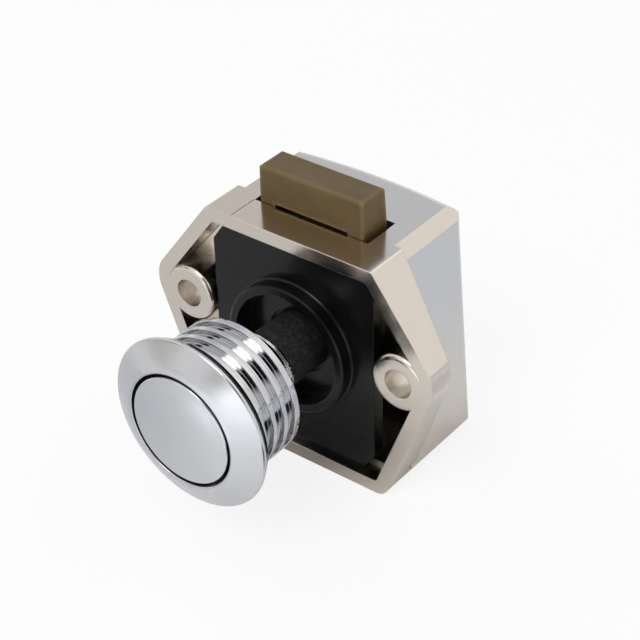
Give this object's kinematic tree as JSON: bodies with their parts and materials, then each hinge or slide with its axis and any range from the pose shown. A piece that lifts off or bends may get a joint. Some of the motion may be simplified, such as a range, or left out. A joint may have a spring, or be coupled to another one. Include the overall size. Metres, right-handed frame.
{
  "type": "push button cabinet lock",
  "caption": "Push-push rim lock for a cabinet door: chrome knob with ribbed rosette, black guide plate, nickel housing with eared flange and a bronze bolt that slides out of its top",
  "frame": {"origin": "on the knob's axis, in the plane of the housing's rim, which lies on the inside of the door", "axes": "-Y is out through the door to the button, +Z is the way the bolt comes out, +X is across the ears"},
  "size_m": [0.0464, 0.0441, 0.0413],
  "materials": {
    "nickel_plate": "satin nickel plating",
    "black_plastic": "satin black moulding",
    "bright_chrome": "bright chrome plating",
    "bronze_zinc": "satin bronze plating",
    "rubber": "matt rubber",
    "plain_steel": "bright zinc plated steel",
    "white_plastic": "natural acetal"
  },
  "bodies": {
    "base": {"housing": "nickel_plate", "guide_plate": "black_plastic", "rosette": "bright_chrome", "buffer_ring": "rubber", "spring_pin": "plain_steel", "track_plate": "white_plastic", "track_screws": "plain_steel", "knob_spring": "plain_steel"},
    "knob": {"button": "bright_chrome", "knob_sleeve": "bright_chrome", "stem": "black_plastic", "knob_screw": "plain_steel", "seat_washer": "plain_steel", "carriage": "white_plastic", "stem_circlip": "plain_steel", "drive_pins": "plain_steel", "follower_keeper": "plain_steel"},
    "bolt": {"latch_bolt": "bronze_zinc"},
    "follower": {"follower_slider": "plain_steel", "follower_tip": "plain_steel"}
  },
  "joints": [
    {"name": "knob_slide", "type": "slide", "parent": "base", "child": "knob", "axis": [0, -1, 0], "range_m": [0, 0.009], "deforming": ["knob_spring"]},
    {"name": "bolt_slide", "type": "slide", "parent": "base", "child": "bolt", "axis": [0, 0, -1], "range_m": [0, 0.0059]},
    {"name": "follower_slide", "type": "slide", "parent": "knob", "child": "follower", "axis": [-1, 0, 0], "range_m": [0, 0.0008]}
  ],
  "couplings": [
    {"joint": "bolt_slide", "follows": "knob_slide", "ratio": 0.6555},
    {"joint": "follower_slide", "follows": "knob_slide", "ratio": 0.0888}
  ]
}
